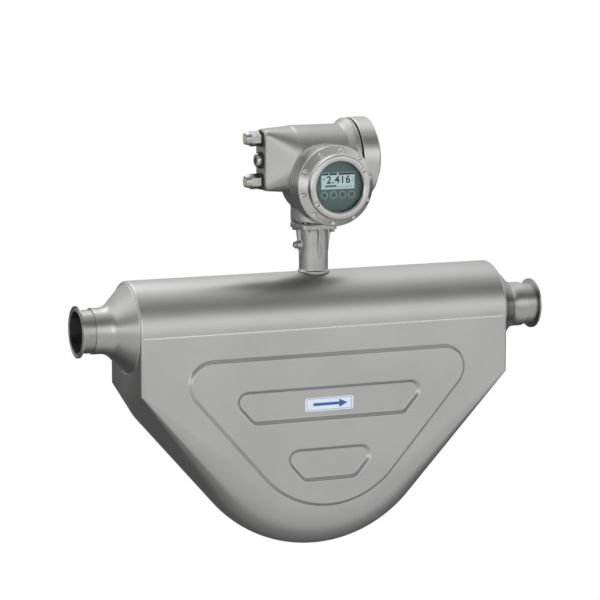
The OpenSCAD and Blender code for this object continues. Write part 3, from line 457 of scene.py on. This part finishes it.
def pressed_panel():
    """The raised panel on the case's flat front, a rounded triangle with two recesses in it."""
    grow = press_ramp / 2
    inset = panel_inset - grow
    bottom_radius = outline_radius - inset
    bottom_z = outline_z - bottom_radius / math.cos(slope)
    triangle = [*level(panel_top + grow, inset, panel_radius + grow), (middle_x, bottom_z, bottom_radius)]
    flat = -case_radius + panel_gap
    top = flat - press_height
    panel = ramped(pressed_sheet(triangle, flat), press_height)
    bpy.ops.object.mode_set(mode="EDIT")
    bpy.ops.mesh.delete(type="ONLY_FACE")
    bpy.ops.object.mode_set(mode="OBJECT")
    recesses = [ramped(pressed_sheet(trapezoid(start, height, grow), top), -press_height + recess_gap)
                for start, height in recess_rows]
    panel = joined("panel", [panel, *recesses])
    bpy.ops.object.mode_set(mode="EDIT")
    bpy.ops.mesh.select_mode(type="EDGE")
    pick(panel, lambda edge: edge.is_boundary and all(abs(end.co.y - top) < 1e-6 for end in edge.verts),
         "edges")
    bpy.ops.mesh.fill(use_beauty=True)
    bpy.ops.mesh.select_all(action="SELECT")
    bpy.ops.mesh.remove_doubles(threshold=0.00001)
    pick(panel, lambda face: face.normal.y > 0, "faces")
    bpy.ops.mesh.flip_normals()
    bpy.ops.object.mode_set(mode="OBJECT")
    return panel


def copied(piece, name):
    """A copy of the piece with its own mesh and no parent, selected and active."""
    bpy.ops.object.select_all(action="DESELECT")
    copy = piece.copy()
    copy.data = piece.data.copy()
    copy.parent = None
    copy.name = name
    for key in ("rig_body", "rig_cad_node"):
        if key in copy:
            del copy[key]
    bpy.context.collection.objects.link(copy)
    bpy.context.view_layer.objects.active = copy
    copy.select_set(True)
    return copy


front = joined("pressed_front_shell", [drawn_form(), pressed_panel()])
bpy.ops.object.shade_smooth_by_angle(angle=math.radians(30))
coat(front, case_steel)
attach(front, "meter")
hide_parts("front_shell")

rear = copied(front, "pressed_rear_shell")
bpy.ops.object.mode_set(mode="EDIT")
bpy.ops.mesh.select_all(action="SELECT")
bpy.ops.transform.resize(value=(1, -1, 1), center_override=(0, 0, 0))
bpy.ops.mesh.flip_normals()
bpy.ops.object.mode_set(mode="OBJECT")
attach(rear, "meter")
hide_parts("rear_shell")

# ---------------------------------------------------------------- label
# Self-adhesive flow direction label in the upper recess: pale plastic film with a printed arrow.
film = metal("label_film", (0.70, 0.78, 0.88), (0.76, 0.83, 0.92), (0.35, 0.45), metallic=0.0)
dress(film, "flow_label")
print_blue = metal("print_blue", (0.02, 0.09, 0.33), (0.025, 0.11, 0.38), (0.35, 0.45), metallic=0.0,
                   bump=0.02)
label_low, label_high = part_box("flow_label")
label_middle = (label_low + label_high) / 2
print_thickness = 0.00005


def printed(name, finish, parts):
    """Flat prints joined to one piece with a hair of thickness towards the front."""
    print_piece = joined(name, parts)
    bpy.ops.object.mode_set(mode="EDIT")
    bpy.ops.mesh.select_all(action="SELECT")
    bpy.ops.mesh.extrude_region_move(TRANSFORM_OT_translate={"value": (0, -print_thickness, 0)})
    bpy.ops.mesh.select_all(action="SELECT")
    bpy.ops.mesh.normals_make_consistent(inside=False)
    bpy.ops.object.mode_set(mode="OBJECT")
    coat(print_piece, finish)
    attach(print_piece, "meter")


def bar(x, y, z, width, height):
    """A flat bar in the XZ plane about its middle."""
    bpy.ops.object.select_all(action="DESELECT")
    bpy.ops.mesh.primitive_plane_add(size=1, location=(x, y, z), rotation=(math.pi / 2, 0, 0))
    bpy.context.object.scale = (width, height, 1)
    bpy.ops.object.transform_apply(location=True, rotation=True, scale=True)
    return bpy.context.object


def arrow_head(x, y, z, width, height, angle=0.0):
    """A triangle in the XZ plane that points along +X, or as turned by the angle."""
    bpy.ops.object.select_all(action="DESELECT")
    bpy.ops.mesh.primitive_circle_add(vertices=3, radius=1, fill_type="NGON",
                                      rotation=(0, 0, -math.pi / 2))
    head = bpy.context.object
    bpy.ops.object.transform_apply(rotation=True)
    # the triangle of a circle of radius 1 is 1.5 long and 1.732 across
    head.scale = (width / 1.5, height / 1.732, 1)
    bpy.ops.object.transform_apply(scale=True)
    head.rotation_euler = (math.pi / 2, -angle, 0)
    head.location = (x, y, z)
    bpy.ops.object.transform_apply(location=True, rotation=True)
    return head


# an arrow along the flow in a thin frame
label_x, face_y, label_z = label_middle.x, label_low.y - 0.00002, label_middle.z
frame_line, frame_width, frame_height = 0.0006, 0.085, 0.0206
printed("flow_arrow", print_blue, [
    bar(label_x - 0.006, face_y, label_z, 0.050, 0.0052),
    arrow_head(label_x + 0.024, face_y, label_z, 0.016, 0.0150),
    *(bar(label_x, face_y, label_z + side * 0.0100, frame_width, frame_line) for side in (-1, 1)),
    *(bar(label_x + side * 0.0427, face_y, label_z, frame_line, frame_height) for side in (-1, 1))])

# ---------------------------------------------------------------- reducers and ferrules
# Spun bells that bring the case down to the pipe, and turned clamp ferrules welded to them,
# fine-ground and brightened for food plants.
polished = metal("ground_steel", (0.33, 0.33, 0.326), (0.38, 0.38, 0.375), (0.20, 0.27), grain=700.0,
                 cloud=14.0, bump=0.05)
dress(polished, "inlet_reducer", "outlet_reducer")
ferrule_steel = metal("turned_steel", (0.28, 0.28, 0.276), (0.35, 0.35, 0.345), (0.22, 0.34), grain=700.0,
                      cloud=30.0, bump=0.05)
dress(ferrule_steel, "inlet_ferrule", "outlet_ferrule")

# ---------------------------------------------------------------- welds
# Ground weld beads: round each bell where it meets the case, and along both seams between the
# half-barrel and the pressed shells. Filler of the case's steel, a little brighter where ground.
weld_steel = metal("ground_weld", (0.48, 0.48, 0.473), (0.56, 0.56, 0.553), (0.26, 0.36), grain=260.0,
                   cloud=120.0, bump=0.5, depth=0.0004)
bell_radius, bell_bead = 0.0790, 0.0012
seam_y, seam_bead, seam_end = 0.0835, 0.0011, 0.006

beads = []
for place in (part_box("inlet_reducer")[1].x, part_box("outlet_reducer")[0].x):
    bpy.ops.object.select_all(action="DESELECT")
    bpy.ops.mesh.primitive_torus_add(major_radius=bell_radius, minor_radius=bell_bead, major_segments=160,
                                     minor_segments=12, location=(place, 0, 0),
                                     rotation=(0, math.pi / 2, 0))
    beads.append(bpy.context.object)
for side in (-1, 1):
    seam_middle = (middle_x, side * seam_y, seam_z)
    bpy.ops.object.select_all(action="DESELECT")
    bpy.ops.mesh.primitive_cylinder_add(vertices=16, radius=seam_bead, depth=2 * case_half - 2 * seam_end,
                                        location=seam_middle, rotation=(0, math.pi / 2, 0))
    bpy.ops.object.mode_set(mode="EDIT")
    bpy.ops.mesh.select_mode(type="FACE")
    pick(bpy.context.object, lambda face: abs(face.normal.z) > 0.9, "faces")
    bpy.ops.mesh.inset(thickness=0.0004, depth=0.0006)
    bpy.ops.object.mode_set(mode="OBJECT")
    bpy.ops.transform.resize(value=(1, 0.5, 2.2), center_override=seam_middle)
    beads.append(bpy.context.object)
weld = joined("weld_beads", beads)
ripple = bpy.data.textures.new("weld_ripple", "CLOUDS")
ripple.noise_scale = 0.005
puddles = weld.modifiers.new("puddles", "DISPLACE")
puddles.texture = ripple
puddles.strength = 0.0004
puddles.mid_level = 0.5
bpy.ops.object.modifier_apply(modifier="puddles")
bpy.ops.object.shade_smooth_by_angle(angle=math.radians(40))
coat(weld, weld_steel)
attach(weld, "meter")

# ---------------------------------------------------------------- neck
# Cast neck with four ribs under its square flange, welded on the barrel, four screws from below,
# a sealing gasket on top and the earth terminal on its boss.
cast_steel = metal("cast_satin", (0.33, 0.33, 0.326), (0.375, 0.375, 0.37), (0.33, 0.41), grain=1100.0,
                   cloud=24.0, bump=0.2)
bolt_steel = metal("bolt_steel", (0.26, 0.26, 0.258), (0.38, 0.38, 0.375), (0.25, 0.38), cloud=80.0)
rubber = metal("seal_rubber", (0.012, 0.012, 0.013), (0.022, 0.022, 0.023), (0.55, 0.75), metallic=0.0)
dress(bolt_steel, "flange_screws", "earth_clamp", "earth_screw", "faceplate_screws")
gasket_fibre = metal("gasket_fibre", (0.10, 0.10, 0.10), (0.16, 0.16, 0.158), (0.6, 0.8), metallic=0.0)
dress(gasket_fibre, "neck_gasket")
dress(rubber, "display_cover_seal", "terminal_cover_seal", "upper_gland_washer", "lower_gland_washer",
      "plug_washer")


def casting(name, body, grid, rounds, steel=cast_steel):
    """The node's solid cast in one piece: its edges run into each other as a ground casting's do."""
    piece = copied(frame["nodes"][name], "cast_" + name)
    bpy.ops.object.mode_set(mode="EDIT")
    bpy.ops.mesh.select_all(action="SELECT")
    bpy.ops.mesh.remove_doubles(threshold=0.00002)
    bpy.ops.object.mode_set(mode="OBJECT")
    blocks = piece.modifiers.new("blocks", "REMESH")
    blocks.mode = "VOXEL"
    blocks.voxel_size = grid
    blocks.adaptivity = 0.0
    smooth = piece.modifiers.new("smooth", "SMOOTH")
    smooth.factor = 0.5
    smooth.iterations = rounds
    for modifier in ("blocks", "smooth"):
        bpy.ops.object.modifier_apply(modifier=modifier)
    bpy.ops.object.shade_smooth()
    coat(piece, steel)
    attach(piece, body)
    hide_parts(name)


casting("neck", "meter", grid=0.0010, rounds=6)
casting("transmitter_housing", "meter", grid=0.0016, rounds=5)
cover_steel = metal("cover_satin", (0.42, 0.42, 0.415), (0.48, 0.48, 0.473), (0.22, 0.28), grain=1100.0,
                    cloud=24.0, bump=0.15)
for cover in ("display_cover", "terminal_cover"):
    casting(cover, cover, grid=0.0010, rounds=2, steel=cover_steel)

# ---------------------------------------------------------------- electronics
# Two circuit boards on a dark plastic carrier in the housing; the moulded faceplate in front holds
# the display and four optical keys. A pane of glass in the screwed cover closes it, on a steel ring.
board = metal("circuit_board", (0.01, 0.09, 0.035), (0.02, 0.15, 0.06), (0.3, 0.45), grain=300.0,
              cloud=90.0, metallic=0.0)
dress(board, "display_board", "main_board")
carrier = metal("carrier_plastic", (0.012, 0.012, 0.013), (0.02, 0.02, 0.021), (0.45, 0.6), metallic=0.0)
dress(carrier, "electronics_carrier")
faceplate = metal("faceplate_plastic", (0.070, 0.115, 0.115), (0.090, 0.140, 0.140), (0.35, 0.45),
                  metallic=0.0)
dress(faceplate, "display_faceplate")
keys = metal("key_plastic", (0.085, 0.135, 0.135), (0.11, 0.165, 0.165), (0.3, 0.4), metallic=0.0)
dress(keys, "optical_keys")
screen = metal("lcd_glass_painted_glow", (0.36, 0.47, 0.475), (0.38, 0.50, 0.505), (0.15, 0.25), metallic=0.0, bump=0.0)
screen_shader = screen.node_tree.nodes["Principled BSDF"]
# the screen's emission is a painted glow that lightens it, giving light of its own though it is no lamp
screen_shader.inputs["Emission Color"].default_value = (0.42, 0.54, 0.555, 1)
screen_shader.inputs["Emission Strength"].default_value = 0.30
dress(screen, "lcd_panel")

lcd_low, lcd_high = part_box("lcd_panel")
lcd_x, lcd_z = (lcd_low.x + lcd_high.x) / 2, (lcd_low.z + lcd_high.z) / 2
lcd_y = lcd_low.y - print_thickness
ink = metal("lcd_ink", (0.020, 0.030, 0.032), (0.028, 0.040, 0.042), (0.3, 0.4), metallic=0.0, bump=0.0)


def figures(text, x, y, z, height, weight):
    """Figures with their middle at the place, as a flat mesh in the XZ plane."""
    bpy.ops.object.select_all(action="DESELECT")
    bpy.ops.object.text_add(location=(x, y, z), rotation=(math.pi / 2, 0, 0))
    words = bpy.context.object
    words.data.body = text
    words.data.size = height / 0.72
    words.data.offset = weight
    words.data.space_character = 1.12
    words.data.align_x = "CENTER"
    words.data.align_y = "CENTER"
    words.data.fill_mode = "BOTH"
    words.data.resolution_u = 6
    bpy.ops.object.convert(target="MESH")
    bpy.ops.object.transform_apply(location=True, rotation=True, scale=True)
    return bpy.context.object


def screen_bars(bars):
    """Bars on the screen, each given as x and z from its middle, width and height."""
    return [bar(lcd_x + x, lcd_y, lcd_z + z, width, height) for x, z, width, height in bars]


# the reading in the middle, words above it, a unit beside it and a scale of eleven marks below
words_above = [(-0.0245, 0.0121, 0.0125, 0.0037), (-0.0095, 0.0121, 0.0150, 0.0037),
               (0.0160, 0.0121, 0.0300, 0.0037)]
unit_bars = [(0.0275, z, 0.0024, 0.0007) for z in (0.0045, 0.0020, -0.0005)]
scale_bars = [(0.001, -0.0100, 0.050, 0.0005), (-0.0135, -0.0086, 0.021, 0.0022)]
printed("lcd_reading", ink, [
    figures("2.416", lcd_x + 0.001, lcd_y, lcd_z + 0.0014, 0.0132, 0.0004),
    *screen_bars(words_above),
    arrow_head(lcd_x - 0.0262, lcd_y, lcd_z + 0.0030, 0.0032, 0.0042),
    *screen_bars(unit_bars),
    *screen_bars(scale_bars),
    *(bar(lcd_x + 0.001 + (i - 5) * 0.005, lcd_y, lcd_z - 0.0114, 0.0005, 0.0016) for i in range(11))])

# light rings printed on the faceplate round the four keys, and a sign on each key
key_low, key_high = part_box("optical_keys")
key_radius = (key_high.z - key_low.z) / 2
key_z, key_y = key_low.z + key_radius, key_low.y - print_thickness
ring_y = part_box("display_faceplate")[0].y - print_thickness
key_places = [lcd_x + (i - 1.5) * 0.0171 for i in range(4)]
ring_print = metal("ring_print", (0.30, 0.42, 0.42), (0.36, 0.48, 0.48), (0.4, 0.5), metallic=0.0, bump=0.0)


def ring(x, y, z, inner, outer):
    """A flat ring in the XZ plane."""
    bpy.ops.object.select_all(action="DESELECT")
    bpy.ops.mesh.primitive_circle_add(vertices=64, radius=outer, rotation=(math.pi / 2, 0, 0),
                                      location=(x, y, z))
    hoop = bpy.context.object
    bpy.ops.object.transform_apply(location=True, rotation=True, scale=True)
    bpy.ops.object.mode_set(mode="EDIT")
    bpy.ops.mesh.select_all(action="SELECT")
    bpy.ops.mesh.extrude_edges_move()
    bpy.ops.transform.resize(value=(inner / outer,) * 3, center_override=(x, y, z))
    bpy.ops.object.mode_set(mode="OBJECT")
    return hoop


printed("key_rings", ring_print, [ring(x, ring_y, key_z, key_radius + 0.0004, key_radius + 0.0011)
                                  for x in key_places])
printed("key_signs", ink, [
    arrow_head(key_places[0], key_y, key_z, 0.0048, 0.0050),
    *(arrow_head(x, key_y, key_z, 0.0044, 0.0052, turn)
      for x, turn in [(key_places[1], -math.pi / 2), (key_places[2], math.pi / 2)]),
    *(bar(key_places[3], key_y, key_z + side * 0.0012, 0.0056, 0.0011) for side in (1, -1))])

glass = bpy.data.materials.new("window_glass")
glass.use_nodes = True
tree = glass.node_tree
pane = tree.nodes["Principled BSDF"]
pane.inputs["Base Color"].default_value = (0.95, 0.97, 0.96, 1)
pane.inputs["Transmission Weight"].default_value = 1.0
pane.inputs["IOR"].default_value = 1.1
place = node(tree, "ShaderNodeTexCoord").outputs["Object"]
smears = node(tree, "ShaderNodeTexNoise", {"Vector": place, "Scale": 60.0, "Detail": 4.0})
tree.links.new(spread(tree, smears.outputs[0], 0.0, 1.0, 0.01, 0.04), pane.inputs["Roughness"])
dress(glass, "display_window")
# the steel ring round the window is painted nearly black, as painted shade inside the cover's aperture
retainer = metal("retainer_painted_shade", (0.10, 0.10, 0.10), (0.16, 0.16, 0.16), (0.3, 0.4))
dress(retainer, "window_retainer")

# ---------------------------------------------------------------- terminals and cable entries
# Moulded green terminal block with plated screws behind the plain cover. Two turned cable glands
# with rubber inserts and a blanking plug between them are screwed into the cable end.
terminal_plastic = metal("terminal_plastic", (0.02, 0.14, 0.07), (0.03, 0.19, 0.10), (0.4, 0.5), metallic=0.0)
dress(terminal_plastic, "terminal_block")
screw_zinc = metal("screw_zinc", (0.42, 0.41, 0.38), (0.55, 0.54, 0.50), (0.25, 0.4))
dress(screw_zinc, "terminal_screws")
fitting = metal("fitting_steel", (0.34, 0.34, 0.335), (0.48, 0.48, 0.47), (0.18, 0.30), cloud=70.0, bump=0.04)
dress(fitting, "upper_gland_body", "lower_gland_body", "upper_gland_nut", "lower_gland_nut", "blanking_plug")
insert_rubber = metal("insert_rubber", (0.36, 0.38, 0.20), (0.44, 0.46, 0.27), (0.5, 0.65), metallic=0.0)
dress(insert_rubber, "upper_gland_insert", "lower_gland_insert")
